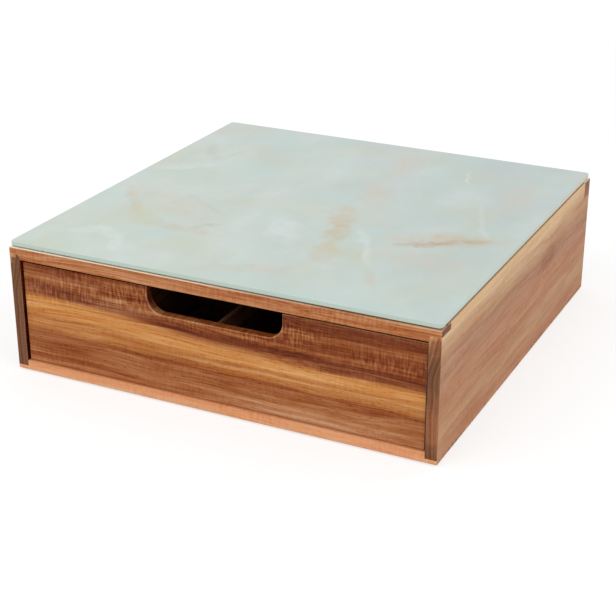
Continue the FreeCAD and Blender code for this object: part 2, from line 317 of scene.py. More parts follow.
def facing(tree, normal, direction, low, high):
    """Runs from low to high as a face turns towards a direction."""
    turned = add_node(tree, "ShaderNodeVectorMath", {"operation": "DOT_PRODUCT"}, {0: normal, 1: direction})
    turned = turned.outputs["Value"]
    return add_node(
        tree,
        "ShaderNodeMapRange",
        SMOOTH,
        {"Value": turned, "From Min": TURNED, "From Max": FACING, "To Min": low, "To Max": high},
    )


def product(tree, factors):
    """All the factors multiplied."""
    total, *others = factors
    for factor in others:
        total = add_node(tree, "ShaderNodeMath", {"operation": "MULTIPLY"}, {0: total, 1: factor})
    return total


def overlaid(tree, colour, layers):
    """A colour with others laid over it in turn, each given as (how much of it shows, the colour)."""
    for amount, cover in layers:
        mix = add_node(tree, "ShaderNodeMix", {"data_type": "RGBA"}, {0: amount, 6: colour, 7: cover})
        colour = mix.outputs[2]
    return colour


# Sizes of the acacia's figure in mm along, through and across a board
SWAY_SIZE = (170, 55, 55)  # stretch in which the grain wanders once
LINE_SIZE = (300, 4.5, 2.6)  # dark lines of the late wood
PATCH_SIZE = (62, 12, 7)  # patches where the wood took more oil or less
WAVING_SIZE = (60, 40, 20)  # stretches where the fibres wave more or less
BAR_REACH = (24, 7)  # through and across, of one bar of waving fibres
FIBRE_LENGTH = 38
PORE_SPACING = 1.4
MARK_THICKNESS = 40
FROM_PITH = (0, 150, 6)  # from the middle of the tree to the middle of the board
RINGS_PER_MM = 0.42

# How far each part of the figure deepens the colour, where 1 leaves it as it is
RINGS_DEEPEN = (1.18, 0.84)  # the two woods of a growth ring
INSIDE_SHADE_DEEPENS = 3.0  # painted shade on the faces that look into the case
BARS_IN_QUIET, BARS_IN_WAVY = 0.15, 1.3  # share of the bars' strength where the fibres wave least and most
BARS_BELOW, BARS_ABOVE = 0.2, 1.0  # the same below and above the height where they start
BARS_FADE = 4  # mm from that height to where each of these is reached
# Where a pore's dark line starts to end and where it has ended, as a share of the spacing from its middle
PORE_EDGE = (0.1, 0.28)
# How squarely a rounded edge looks along one side where its wear and painted highlight are full and where
# they end
ARRIS_SQUARE = (0.8, 0.98)
# Share of the painted light on a top edge that is left at the end of its fade
TOP_FADED = 0.1

# Where painted shade darkens the two end walls of the finger slot, in mm from the middle of the drawer front
SLOT_SHADE_DEEPENS = 0.9
SLOT_SHADE_ALONG = (48.0, 49.0)  # from either end of the slot into the wood
SLOT_SHADE_ACROSS = (17.5, 21.0)  # from just over the slot's lower edge upwards
SLOT_SHADE_THROUGH = (-2.9, -1.4)  # from 1 mm behind the face backwards

# A board's usual figure. Each pair is how far one layer thins and thickens the colour: 1 leaves it as it
# is, below 1 it is paler, and above 1 it is deeper and redder.
PLAIN = {
    "streaks": (260, 14, 9),  # mm along, through and across the board
    "lines": (0.9, 1.14),
    "fibres": (0.91, 1.12),
    "patches": (0.93, 1.08),
    "ripple": 0.1,  # strength of the bars where the fibres wave
    "ripple_height": None,  # where the bars start, in mm over the board's middle
    "pores": 1.3,
    "sway": 14.0,  # mm by which the grain wanders
    "seed": (0, 0, 0),  # mm along, through and across, for a board with a pattern of its own
    "height": None,  # of all the colour stops together, in mm
    "wander": 10.0,  # mm by which the stops' heights follow the streaks
    "level": None,  # function that bends the heights
    "marks": (),  # soft ovals as (middle, half lengths, how far the colour deepens), in mm
    "inside": None,  # direction in which the board looks into the case, where its faces get painted shade
    "scorched": False,  # whether painted shade darkens the end walls of the finger slot
    "arris": 0.82,  # how far sanding wear and a painted highlight pale the rounded edges
    "top": None,  # colour name of painted light or shade on the upward faces
    "top_fade": None,  # mm along the board between which that colour fades
}


def acacia(name, pieces, grain_axis, face, end, **figure):
    """Acacia planed, sanded and rubbed with oil.

    The eye sees warm brown streaks that run with the grain, fine dark pore lines, soft bars across it
    where the fibres wave, a low sheen, paler sanded arrises, and dull darker end grain with rings and dots.

    face and end are (place, colour name) stops for the faces and the cut ends. With a height they lie at
    heights in mm from the board's middle, and otherwise they run over the streaks from 0 to 1. Whatever
    else is given takes the place of a value of PLAIN.
    """
    figure = {**PLAIN, **figure}
    wood = bpy.context.scene.tea_box_acacia
    material, tree = new_material(name)
    coordinates = add_node(tree, "ShaderNodeTexCoord")
    normal = coordinates.outputs["Normal"]
    outward = add_node(tree, "ShaderNodeVectorMath", {"operation": "ABSOLUTE"}, {0: normal})
    place = board_place(tree, coordinates.outputs["Object"], pieces, grain_axis, figure["seed"])
    board = add_node(tree, "ShaderNodeSeparateXYZ", None, {0: place}).outputs
    grain = swaying_grain(tree, place, figure["sway"])

    colour, end_colour = banded_colours(tree, wood, grain, board, (face, end), figure)
    # Painted light or shade on the upward faces
    if figure["top"]:
        up = painted_top_light(tree, normal, board, figure["top_fade"])
        colour = overlaid(tree, colour, [(up, getattr(wood, figure["top"]))])
    fibre_size = (FIBRE_LENGTH, wood.fibre_width / MM, wood.fibre_width / MM)
    fibres = grain_layer(tree, grain, fibre_size, *figure["fibres"])
    pores = open_pores(tree, wood, grain, figure["pores"])
    layers = [
        fibres,
        grain_layer(tree, grain, LINE_SIZE, *figure["lines"], detail=3.0, roughness=0.6),
        grain_layer(tree, grain, PATCH_SIZE, *figure["patches"]),
        wavy_bars(tree, wood, place, board, figure),
        pores,
    ]
    layers += [soft_mark(tree, grain, *mark) for mark in board_marks(figure)]
    colour = add_node(tree, "ShaderNodeGamma", None, {"Color": colour, "Gamma": product(tree, layers)})
    end_layers = product(tree, [growth_rings(tree, grain), pores, fibres])
    end_colour = add_node(tree, "ShaderNodeGamma", None, {"Color": end_colour, "Gamma": end_layers})
    colour = overlaid(tree, colour, [(facing(tree, outward, grain_axis, 0.0, 1.0), end_colour)])

    # Paler arrises from wear and a painted highlight, painted shade inside the case and on the slot's end
    # walls
    shades = [worn_and_highlit_arrises(tree, outward, figure["arris"])]
    if figure["inside"]:
        shades.append(facing(tree, normal, figure["inside"], 1.0, INSIDE_SHADE_DEEPENS))
    if figure["scorched"]:
        shades.append(scorched_ends(tree, board))
    colour = add_node(tree, "ShaderNodeGamma", None, {"Color": colour, "Gamma": product(tree, shades)})

    # A low sheen that the fibres break up, over a faint relief of fibres and pores
    relief = add_node(tree, "ShaderNodeMath", {"operation": "ADD"}, {0: fibres, 1: pores})
    relief = {"Strength": 0.4, "Distance": 0.25 * MM, "Height": relief}
    shader = add_node(
        tree,
        "ShaderNodeBsdfPrincipled",
        None,
        {
            "Base Color": colour,
            "Roughness": grain_layer(tree, grain, fibre_size, 0.44, 0.6),
            "IOR": 1.48,
            "Specular IOR Level": 0.15,
            "Normal": add_node(tree, "ShaderNodeBump", {"invert": True}, relief),
        },
    )
    add_node(tree, "ShaderNodeOutputMaterial", None, {"Surface": shader})
    dress(material, pieces)


def board_place(tree, coordinates, pieces, grain_axis, seed):
    """Object metres to millimetres along (X), through (Y) and across (Z) a board, from its middle."""
    rotation = Euler((0, 0, -math.pi / 2 if grain_axis == FRONT_TO_BACK else 0))
    return add_node(
        tree,
        "ShaderNodeMapping",
        None,
        {
            "Vector": coordinates,
            "Location": Vector(seed) - rotation.to_matrix() @ middle_mm(pieces),
            "Rotation": rotation,
            "Scale": (1 / MM, 1 / MM, 1 / MM),
        },
    )


def swaying_grain(tree, place, sway):
    """Places on a board whose grain wanders by up to sway mm over a hand's width."""
    scale = [1 / length for length in SWAY_SIZE]
    far = add_node(tree, "ShaderNodeMapping", None, {"Vector": place, "Scale": scale})
    drift = add_node(tree, "ShaderNodeTexNoise", None, {"Vector": far, "Scale": 1.0, "Detail": 2.0})
    return add_node(
        tree,
        "ShaderNodeVectorMath",
        {"operation": "MULTIPLY_ADD"},
        {0: drift.outputs["Color"], 1: (0, sway, sway), 2: place},
    )


def banded_colours(tree, wood, grain, board, bands, figure):
    """The colour for each list of stops, by height on the board or by streak."""
    along, _, across = board
    height = figure["height"]
    if height:
        level = figure["level"](tree, along, across) if figure["level"] else across
        wander = figure["wander"]
        wander = grain_layer(tree, grain, figure["streaks"], -wander, wander, detail=4.0, roughness=0.6)
        level = add_node(tree, "ShaderNodeMath", {"operation": "ADD"}, {0: level, 1: wander})
        limits = {"From Min": -height / 2, "From Max": height / 2}
        tone = add_node(tree, "ShaderNodeMapRange", None, {"Value": level, **limits})
        bands = [[(0.5 + at / height, colour) for at, colour in stops] for stops in bands]
    else:
        tone = grain_layer(tree, grain, figure["streaks"], 0.0, 1.0, detail=3.0, roughness=0.55)
    bands = [[(at, getattr(wood, colour)) for at, colour in stops] for stops in bands]
    return [add_node(tree, "ShaderNodeValToRGB", {"stops": stops}, {"Fac": tone}) for stops in bands]


def painted_top_light(tree, normal, board, fade):
    """How much of a top edge's own colour shows, fading along the board between two places."""
    up = facing(tree, normal, (0, 0, 1), 0.0, 1.0)
    if not fade:
        return up
    along, start, stop = board[0], *fade
    fading = {"Value": along, "From Min": start, "From Max": stop, "To Min": 1.0, "To Max": TOP_FADED}
    return product(tree, [up, add_node(tree, "ShaderNodeMapRange", None, fading)])


def open_pores(tree, wood, grain, deepens):
    """Pores: 0.2 mm wide on the real wood, drawn 0.4 mm wide so that they show."""
    scale = (MM / wood.pore_length, 1 / PORE_SPACING, 1 / PORE_SPACING)
    cells = add_node(tree, "ShaderNodeMapping", None, {"Vector": grain, "Scale": scale})
    pore = add_node(tree, "ShaderNodeTexVoronoi", {"feature": "F1"}, {"Vector": cells, "Scale": 1.0})
    dark, plain = PORE_EDGE
    return add_node(
        tree,
        "ShaderNodeMapRange",
        SMOOTH,
        {"Value": pore, "From Min": dark, "From Max": plain, "To Min": deepens, "To Max": 1.0},
    )


def wavy_bars(tree, wood, place, board, figure):
    """Bars across the grain where the fibres wave, which darken the wood twice as far as they lighten it."""
    most = figure["ripple"]
    size = (wood.ripple_width / MM, *BAR_REACH)
    bars = grain_layer(tree, place, size, -most / 2, most, detail=1.0)
    waving = grain_layer(tree, place, WAVING_SIZE, BARS_IN_QUIET, BARS_IN_WAVY, detail=1.0)
    start = figure["ripple_height"]
    if start is not None:
        limits = {"From Min": start - BARS_FADE, "From Max": start + BARS_FADE}
        strength = {"To Min": BARS_BELOW, "To Max": BARS_ABOVE}
        higher = add_node(tree, "ShaderNodeMapRange", SMOOTH, {"Value": board[2], **limits, **strength})
        waving = product(tree, [waving, higher])
    return add_node(tree, "ShaderNodeMath", {"operation": "MULTIPLY_ADD"}, {0: bars, 1: waving, 2: 1.0})


def board_marks(figure):
    """Each soft mark's centre, half lengths, turn, and strength at its rim and its centre.

    The sway moves the grain by half of itself on average, and the marks move with it.
    """
    swayed = figure["sway"] / 2
    for (along, across), (half_length, half_width), deepens in figure["marks"]:
        centre = (along, swayed, across + swayed)
        yield centre, (half_length, MARK_THICKNESS, half_width), (0, 0, 0), 1.0, deepens


def growth_rings(tree, grain):
    """Rings on the cut ends, nearly straight because the middle of the tree is far off."""
    from_pith = add_node(
        tree,
        "ShaderNodeVectorMath",
        {"operation": "MULTIPLY_ADD"},
        {0: grain, 1: (0, 1, 1), 2: FROM_PITH},
    )
    radius = add_node(tree, "ShaderNodeVectorMath", {"operation": "LENGTH"}, {0: from_pith})
    ring = add_node(
        tree,
        "ShaderNodeTexNoise",
        {"noise_dimensions": "1D"},
        {"W": radius.outputs["Value"], "Scale": RINGS_PER_MM, "Detail": 2.0},
    )
    early, late = RINGS_DEEPEN
    return add_node(
        tree,
        "ShaderNodeMapRange",
        None,
        {"Value": ring, "From Min": NOISE_LOW, "From Max": NOISE_HIGH, "To Min": early, "To Max": late},
    )


def scorched_ends(tree, board):
    """How far the cutter deepened the colour of the two ends of the slot."""
    along, through, across = board
    off_middle = add_node(tree, "ShaderNodeMath", {"operation": "ABSOLUTE"}, {0: along})
    limits = (
        (off_middle, SLOT_SHADE_ALONG, (SLOT_SHADE_DEEPENS, 0.0)),
        (across, SLOT_SHADE_ACROSS, (0.0, 1.0)),
        (through, SLOT_SHADE_THROUGH, (0.0, 1.0)),
    )
    shade_masks = [
        add_node(
            tree,
            "ShaderNodeMapRange",
            SMOOTH,
            {"Value": value, "From Min": start, "From Max": stop, "To Min": low, "To Max": high},
        )
        for value, (start, stop), (low, high) in limits
    ]
    return add_node(tree, "ShaderNodeMath", {"operation": "ADD"}, {0: product(tree, shade_masks), 1: 1.0})


def worn_and_highlit_arrises(tree, outward, paler):
    """Thins the colour on the rounded edges, which look along no one side of the board."""
    squarest, *others = add_node(tree, "ShaderNodeSeparateXYZ", None, {0: outward}).outputs
    for other in others:
        squarest = add_node(tree, "ShaderNodeMath", {"operation": "MAXIMUM"}, {0: squarest, 1: other})
    palest, whole = ARRIS_SQUARE
    return add_node(
        tree,
        "ShaderNodeMapRange",
        SMOOTH,
        {"Value": squarest, "From Min": palest, "From Max": whole, "To Min": paler, "To Max": 1.0},
    )


# The golden streak of the drawer front: its lower and upper edge, each as a curve's kind, the two places
# along the board between which it runs, and its heights there, in mm from the board's middle
STREAK_ROOT = ("LINEAR", (-141.0, 141.0), (-7.0, -12.5))
STREAK_CROWN = ("SMOOTHSTEP", (-165.0, 30.0), (17.0, 3.6))
# Half of the height that the streak has among the drawer front's bands of colour
STREAK_HALF = 12.5


def front_level(tree, along, across):
    """Heights on the drawer front in mm from the middle of its golden streak.

    The streak is wide at the left end and narrows to the right, so its bands are stretched to fit between
    its root and its crown, and what lies past them keeps its distance to them.
    """
    root, crown = [
        add_node(
            tree,
            "ShaderNodeMapRange",
            {"interpolation_type": kind},
            {"Value": along, "From Min": start, "From Max": stop, "To Min": low, "To Max": high},
        )
        for kind, (start, stop), (low, high) in (STREAK_ROOT, STREAK_CROWN)
    ]
    limits = {"From Min": root, "From Max": crown, "To Min": -STREAK_HALF, "To Max": STREAK_HALF}
    level = add_node(tree, "ShaderNodeMapRange", None, {"Value": across, **limits})
    for limit, operation in ((root, "MINIMUM"), (crown, "MAXIMUM")):
        past = add_node(tree, "ShaderNodeMath", {"operation": "SUBTRACT"}, {0: across, 1: limit})
        past = add_node(tree, "ShaderNodeMath", {"operation": operation}, {0: past, 1: 0.0})
        level = add_node(tree, "ShaderNodeMath", {"operation": "ADD"}, {0: level, 1: past})
    return level


class TeaBoxSides(bpy.types.Operator):
    """Gives the two sides of the case their acacia"""

    bl_idname = "tea_box.sides"
    bl_label = "Case sides"

    def execute(self, context):
        # The right side keeps a strip of sapwood along its top
        # Its paler, lower-contrast colours are partly the side's own paler wood and partly a painted sheen
        acacia(
            "Oiled acacia, right side",
            ["right_side"],
            FRONT_TO_BACK,
            [
                (-40, "clay"),
                (-22, "blond"),
                (-4, "clay"),
                (14, "rose"),
                (26, "blond"),
                (31, "straw"),
                (36, "sapwood"),
            ],
            [
                (-40, "end"),
                (-28, "end_light"),
                (-12, "end_light"),
                (2, "end"),
                (20, "end"),
                (34, "end_light"),
                (40, "end_pale"),
            ],
            height=84,
            wander=5.0,
            lines=(0.965, 1.05),
            fibres=(0.972, 1.035),
            patches=(0.93, 1.1),
            ripple=0.06,
            pores=1.2,
            marks=[((55, 16), (26, 16), 1.2)],
            inside=(-1, 0, 0),
            top="straw",
        )
        acacia(
            "Oiled acacia, left side",
            ["left_side"],
            FRONT_TO_BACK,
            [(-40, "tan"), (-22, "brown"), (-4, "tan"), (14, "clay"), (26, "honey"), (38, "blond")],
            [(-36, "end"), (-10, "end"), (20, "end"), (34, "end"), (40, "end_pale")],
            height=84,
            wander=9.0,
            inside=(1, 0, 0),
            top="top_highlight_cream",
        )
        return {"FINISHED"}


class TeaBoxRails(bpy.types.Operator):
    """Gives the front rail and the rear rail their acacia"""

    bl_idname = "tea_box.rails"
    bl_label = "Rails"

    def execute(self, context):
        face = [(0.0, "tan"), (0.35, "rail"), (0.7, "rail"), (1.0, "honey")]
        acacia(
            "Oiled acacia, front rail",
            ["front_rail"],
            ACROSS_BOX,
            face,
            [(0.0, "end_dark"), (1.0, "end_dark")],
            lines=(0.86, 1.2),
            fibres=(0.84, 1.24),
            inside=(0, 0, -1),
            top="top_highlight_cream",
            top_fade=(-60, 90),
        )
        acacia(
            "Oiled acacia, rear rail",
            ["rear_rail"],
            ACROSS_BOX,
            face,
            [(0.0, "end"), (1.0, "end_light")],
            seed=(90, 60, 30),
            top="top_highlight_cream",
        )
        return {"FINISHED"}


class TeaBoxBottomBoard(bpy.types.Operator):
    """Gives the bottom board its pale acacia"""

    bl_idname = "tea_box.bottom_board"
    bl_label = "Bottom board"

    def execute(self, context):
        acacia(
            "Oiled acacia, bottom board",
            ["bottom_board"],
            ACROSS_BOX,
            [(0.0, "peach_light"), (0.5, "peach"), (1.0, "peach")],
            [(0.0, "end_light"), (1.0, "end_pale")],
            lines=(0.94, 1.1),
        )
        return {"FINISHED"}


class TeaBoxBackPanel(bpy.types.Operator):
    """Gives the back panel its acacia"""

    bl_idname = "tea_box.back_panel"
    bl_label = "Back panel"

    def execute(self, context):
        acacia(
            "Oiled acacia, back panel",
            ["back_panel"],
            ACROSS_BOX,
            [(0.0, "russet"), (0.35, "brown"), (0.6, "tan"), (0.85, "honey"), (1.0, "gold")],
            [(0.0, "end"), (1.0, "end_light")],
            ripple=0.2,
            inside=(0, -1, 0),
        )
        return {"FINISHED"}


class TeaBoxDrawerFront(bpy.types.Operator):
    """Gives the drawer front its figured acacia"""

    bl_idname = "tea_box.drawer_front"
    bl_label = "Drawer front"

    def execute(self, context):
        acacia(
            "Oiled acacia, drawer front",
            ["drawer_front"],
            ACROSS_BOX,
            [
                (-42, "tan"),
                (-37, "cocoa"),
                (-31, "cocoa"),
                (-25, "brown"),
                (-19, "cocoa"),
                (-15, "brown"),
                (-12, "honey"),
                (-5, "honey"),
                (-1, "gold"),
                (7, "gold"),
                (11, "honey"),
                (13.5, "russet"),
                (15.5, "streak"),
                (18, "streak"),
                (21, "brown"),
                (27, "russet"),
                (33, "brown"),
                (38, "streak"),
            ],
            [(-42, "end"), (42, "end_light")],
            height=90,
            level=front_level,
            wander=2.6,
            ripple=0.3,
            ripple_height=12.0,
            lines=(0.86, 1.2),
            fibres=(0.88, 1.18),
            # Painted shade on the end walls of the finger slot
            scorched=True,
            # Painted shade on the upward faces, the slot's lower ledge among them
            top="brown",
            arris=0.64,
            marks=[
                ((-115, -22), (34, 7), 1.2),
                ((-58, -32), (30, 6), 1.18),
                ((80, -27), (110, 15), 0.76),
                ((95, -16), (70, 4), 1.15),
                ((-68, 15), (42, 8), 0.66),
                ((-115, 34), (70, 7), 1.3),
                ((-110, 24), (60, 6), 0.8),
                ((-120, 17), (60, 8), 0.84),
                ((-45, -22), (50, 6), 0.82),
                ((90, -8), (90, 8), 0.86),
            ],
        )
        return {"FINISHED"}


class TeaBoxTray(bpy.types.Operator):
    """Gives the drawer's sides, back and floor and its grid their darker acacia"""

    bl_idname = "tea_box.tray"
    bl_label = "Drawer tray and grid"

    def execute(self, context):
        face = [(0.0, "tray"), (0.6, "tray"), (1.0, "tray_light")]
        end = [(0.0, "tray"), (1.0, "tray")]
        acacia(
            "Oiled acacia, tray lengthwise",
            ["drawer_left_side", "drawer_right_side", "divider_left", "divider_centre", "divider_right"],
            FRONT_TO_BACK,
            face,
            end,
            seed=(40, 300, 90),
            arris=1.0,
        )
        acacia(
            "Oiled acacia, tray crosswise",
            ["drawer_back", "cross_divider_front", "cross_divider_rear", "drawer_floor"],
            ACROSS_BOX,
            face,
            end,
            seed=(500, 20, 10),
            arris=1.0,
        )
        return {"FINISHED"}


# The print's soft strokes as (start, end, half width, colour name, strength), in mm from the middle of
# the glass
PRINT_STROKES = (
    ((13, 138), (30, 75), 16, "blush", 0.35),
    ((18, 54), (38, 14), 18, "blush", 0.45),
    ((20, 2), (32, -32), 15, "vein", 0.34),
    ((30, -28), (40, -62), 13, "vein", 0.4),
    ((37, -58), (46, -100), 12, "vein", 0.27),
    ((34, -72), (62, -74), 17, "olive", 0.45),
    ((44, -110), (-20, -137), 10, "blush", 0.35),
    ((74, -38), (130, -14), 20, "vein", 0.42),
    ((80, -43), (106, -31), 7.5, "vein_core", 0.46),
    ((100, -33), (130, -16), 8.0, "vein_core", 0.38),
    ((72, -56), (140, -70), 22, "blush", 0.34),
    ((43, -30), (62, -58), 4.5, "line", 0.32),
    ((60, -56), (79, -91), 4.5, "line", 0.32),
    ((78, -90), (92, -118), 4.5, "blush", 0.5),
    ((67, 117), (79, 84), 2.6, "line", 0.3),
    ((98, 50), (117, 6), 3.4, "line", 0.26),
    ((115, 8), (128, -12), 4.0, "line", 0.26),
    ((113, 115), (124, 40), 18, "blush", 0.35),
    ((-122, -28), (-45, -66), 25, "blush", 0.33),
    ((-112, -62), (-86, -80), 17, "olive", 0.6),
    ((-92, -78), (-35, -82), 10.0, "vein", 0.28),
    ((-141, -20), (-104, -66), 7.0, "vein", 0.22),
    ((-60, -78), (-40, -64), 5.0, "smoke", 0.45),
    ((-50, -47), (-90, -20), 6.0, "vein", 0.18),
    ((-122, -112), (-101, -104), 10.0, "cloud", 0.7),
    ((-103, -103), (-86, -116), 11.0, "cloud", 0.7),
    ((-89, -112), (-77, -134), 7.0, "line", 0.38),
    ((-134, 88), (-112, 55), 7.0, "smoke", 0.5),
    ((-112, 52), (-100, 92), 5.0, "smoke", 0.25),
    ((-140, 20), (-104, 46), 10.0, "cloud", 0.5),
    ((-81, 62), (-76, 32), 26, "teal", 0.35),
    ((-92, 128), (-74, 112), 20, "teal", 0.25),
    ((-142, 120), (-118, 142), 22, "blush", 0.35),
    ((-10, -38), (12, -68), 18, "cloud", 0.6),
    ((20, -143), (146, -145), 10, "teal", 0.5),
)


# Sizes of the stone print in mm
STONE_WANDERS = ((70.0, 14.0), (22.0, 12.0), (6.0, 4.0))  # wide, narrow and ragged: how long and how far
TINT_REACH = 220.0  # X plus Y where the tint has ended, at the front left and at the back right
STROKE_BREAKS = (11, 11, 11)
STROKE_HEIGHT = 90  # above the table
STROKE_THICKNESS = 60
STROKE_HALF = 0.6  # half length of a stroke over its run, so that its ends fade past the run
# Share of a stroke's strength where it is most broken and where it is whole
STROKE_BROKEN, STROKE_WHOLE = 0.35, 1.25
# Clouds and wisps as (size, detail, roughness, colour name, greatest strength)
STONE_CLOUDS = (((46, 80, 46), 5.0, 0.5, "cloud", 0.5), ((14, 40, 14), 4.0, 0.6, "shade", 0.22))
# Tinted patches as (size, shift that gives it its own pattern, colour name, greatest strength)
STONE_PATCHES = ((44, 300, "olive", 0.22), (52, 700, "teal", 0.3))
# Where along Y a painted reflection of the wood starts on the glass's right edge, where it is strongest, and
# how strong
EDGE_REFLECTION_SPAN = (-60.0, 110.0)
EDGE_REFLECTION_MOST = 0.8
# Marks of the edge's grinding: under 0.1 mm on the real glass, drawn 0.5 mm long so that they show
GRINDING_SIZE = 0.5
GRINDING_STRENGTH = 0.3


class TeaBoxGlassTop(bpy.types.Operator):
    """Prints the glass top with pale green stone and sets its polished face and ground edge"""

    bl_idname = "tea_box.glass_top"
    bl_label = "Printed glass top"

    def execute(self, context):
        # Float glass over a print of green onyx: a hard, mirror-smooth face over soft milky clouds, faint
        # orange veins and thin white lines, with a dull ground edge.
        colours = context.scene.tea_box_glass
        material, tree = new_material("Printed float glass")
        coordinates = add_node(tree, "ShaderNodeTexCoord")
        normal = coordinates.outputs["Normal"]
        place = self.wandering_place(tree, coordinates.outputs["Object"])
        edge = facing(tree, normal, (0, 0, 1), 1.0, 0.0)
        edge_colour = self.edge_colour(tree, place, normal, colours)
        colour = overlaid(tree, self.stone_print(tree, place, colours), [(edge, edge_colour)])
        grinding = {"Vector": place, "Scale": 1 / GRINDING_SIZE, "Detail": 2.0}
        grinding = add_node(tree, "ShaderNodeTexNoise", None, grinding)
        strength = product(tree, [edge, GRINDING_STRENGTH])
        relief = {"Strength": strength, "Distance": 0.1 * MM, "Height": grinding}
        shader = add_node(
            tree,
            "ShaderNodeBsdfPrincipled",
            None,
            {
                "Base Color": colour,
                "Roughness": facing(tree, normal, (0, 0, 1), 0.32, 0.06),
                "IOR": 1.52,
                "Normal": add_node(tree, "ShaderNodeBump", None, relief),
            },
        )
        add_node(tree, "ShaderNodeOutputMaterial", None, {"Surface": shader})
        dress(material, ["glass_top"])
        return {"FINISHED"}

    def wandering_place(self, tree, coordinates):
        """Millimetres over the plate that wander, because stone never runs straight."""
        scale = (1 / MM, 1 / MM, 1 / MM)
        place = add_node(tree, "ShaderNodeMapping", None, {"Vector": coordinates, "Scale": scale})
        for length, shift in STONE_WANDERS:
            noise = {"Vector": place, "Scale": 1 / length, "Detail": 3.0, "Roughness": 0.55}
            noise = add_node(tree, "ShaderNodeTexNoise", None, noise).outputs["Color"]
            halves = {0: noise, 1: (0.5, 0.5, 0.5)}
            centred = add_node(tree, "ShaderNodeVectorMath", {"operation": "SUBTRACT"}, halves)
            place = add_node(
                tree,
                "ShaderNodeVectorMath",
                {"operation": "MULTIPLY_ADD"},
                {0: centred, 1: (shift, shift, 0.0), 2: place},
            )
        return place

    def stone_print(self, tree, place, colours):
        """Green stone, greyer at the back right, with clouds, wisps, tinted patches and soft strokes."""
        x, y, _ = add_node(tree, "ShaderNodeSeparateXYZ", None, {0: place}).outputs
        diagonal = add_node(tree, "ShaderNodeMath", {"operation": "ADD"}, {0: x, 1: y})
        limits = {"From Min": -TINT_REACH, "From Max": TINT_REACH}
        tint = add_node(tree, "ShaderNodeMapRange", None, {"Value": diagonal, **limits})
        layers = [(tint, colours.shade)]
        for size, detail, roughness, name, most in STONE_CLOUDS:
            cloud = grain_layer(tree, place, size, 0.0, most, detail, roughness)
            layers.append((cloud, getattr(colours, name)))
        for size, shift, name, most in STONE_PATCHES:
            shift = (shift, shift, shift)
            moved = add_node(tree, "ShaderNodeVectorMath", {"operation": "ADD"}, {0: place, 1: shift})
            patch = grain_layer(tree, moved, (size, size, size), -most, most)
            patch = add_node(tree, "ShaderNodeMath", {"operation": "MAXIMUM"}, {0: patch, 1: 0.0})
            layers.append((patch, getattr(colours, name)))
        broken = grain_layer(
            tree, place, STROKE_BREAKS, STROKE_BROKEN, STROKE_WHOLE, detail=4.0, roughness=0.6
        )
        for start, end, half_width, name, strength in PRINT_STROKES:
            run = Vector(end) - Vector(start)
            centre = (*(Vector(start) + Vector(end)) / 2, STROKE_HEIGHT)
            turn = (0, 0, math.atan2(run.y, run.x))
            reach = (STROKE_HALF * run.length + half_width, half_width, STROKE_THICKNESS)
            stroke = soft_mark(tree, place, centre, reach, turn, 0.0, strength)
            layers.append((product(tree, [stroke, broken]), getattr(colours, name)))
        return overlaid(tree, colours.ground, layers)

    def edge_colour(self, tree, place, normal, colours):
        """The clear edge picks up the wood below it towards the right rear."""
        y = add_node(tree, "ShaderNodeSeparateXYZ", None, {0: place}).outputs["Y"]
        start, stop = EDGE_REFLECTION_SPAN
        limits = {"From Min": start, "From Max": stop, "To Max": EDGE_REFLECTION_MOST}
        wood_reflection = add_node(tree, "ShaderNodeMapRange", None, {"Value": y, **limits})
        wood_reflection = product(tree, [wood_reflection, facing(tree, normal, (1, 0, 0), 0.0, 1.0)])
        return overlaid(tree, colours.edge, [(wood_reflection, colours.edge_wood_reflection)])


# Sizes of what shows in the silicone and the rubber
PAD_CLOUD = 1.5 * MM
FOOT_PIT = 0.8 * MM  # 0.1 mm on the real rubber, drawn coarser so that it shows
FOOT_DUST = 5 * MM


class TeaBoxGlassPads(bpy.types.Operator):
    """Gives the clear pads under the glass their silicone"""

    bl_idname = "tea_box.glass_pads"
    bl_label = "Glass pads"

    def execute(self, context):
        # Moulded clear silicone: soft, cloudy and wet-looking
        colours = context.scene.tea_box_soft_parts
        material, tree = new_material("Moulded clear silicone")
        coordinates = add_node(tree, "ShaderNodeTexCoord").outputs["Object"]
        cloudy = add_node(
            tree, "ShaderNodeTexNoise", None, {"Vector": coordinates, "Scale": 1 / PAD_CLOUD, "Detail": 3.0}
        )
        colour = overlaid(tree, colours.pad_clear, [(cloudy, colours.pad_cloudy)])
        bump = add_node(
            tree, "ShaderNodeBump", None, {"Strength": 0.2, "Distance": 0.05 * MM, "Height": cloudy}
        )
        roughness = add_node(
            tree, "ShaderNodeMapRange", None, {"Value": cloudy, "To Min": 0.18, "To Max": 0.34}
        )
        shader = add_node(
            tree,
            "ShaderNodeBsdfPrincipled",
            None,
            {
                "Base Color": colour,
                "Roughness": roughness,
                "IOR": 1.41,
                "Transmission Weight": 0.6,
                "Normal": bump,
            },
        )
        add_node(tree, "ShaderNodeOutputMaterial", None, {"Surface": shader})
        dress(material, [name for name in NODES if name.startswith("glass_pad")])
        return {"FINISHED"}


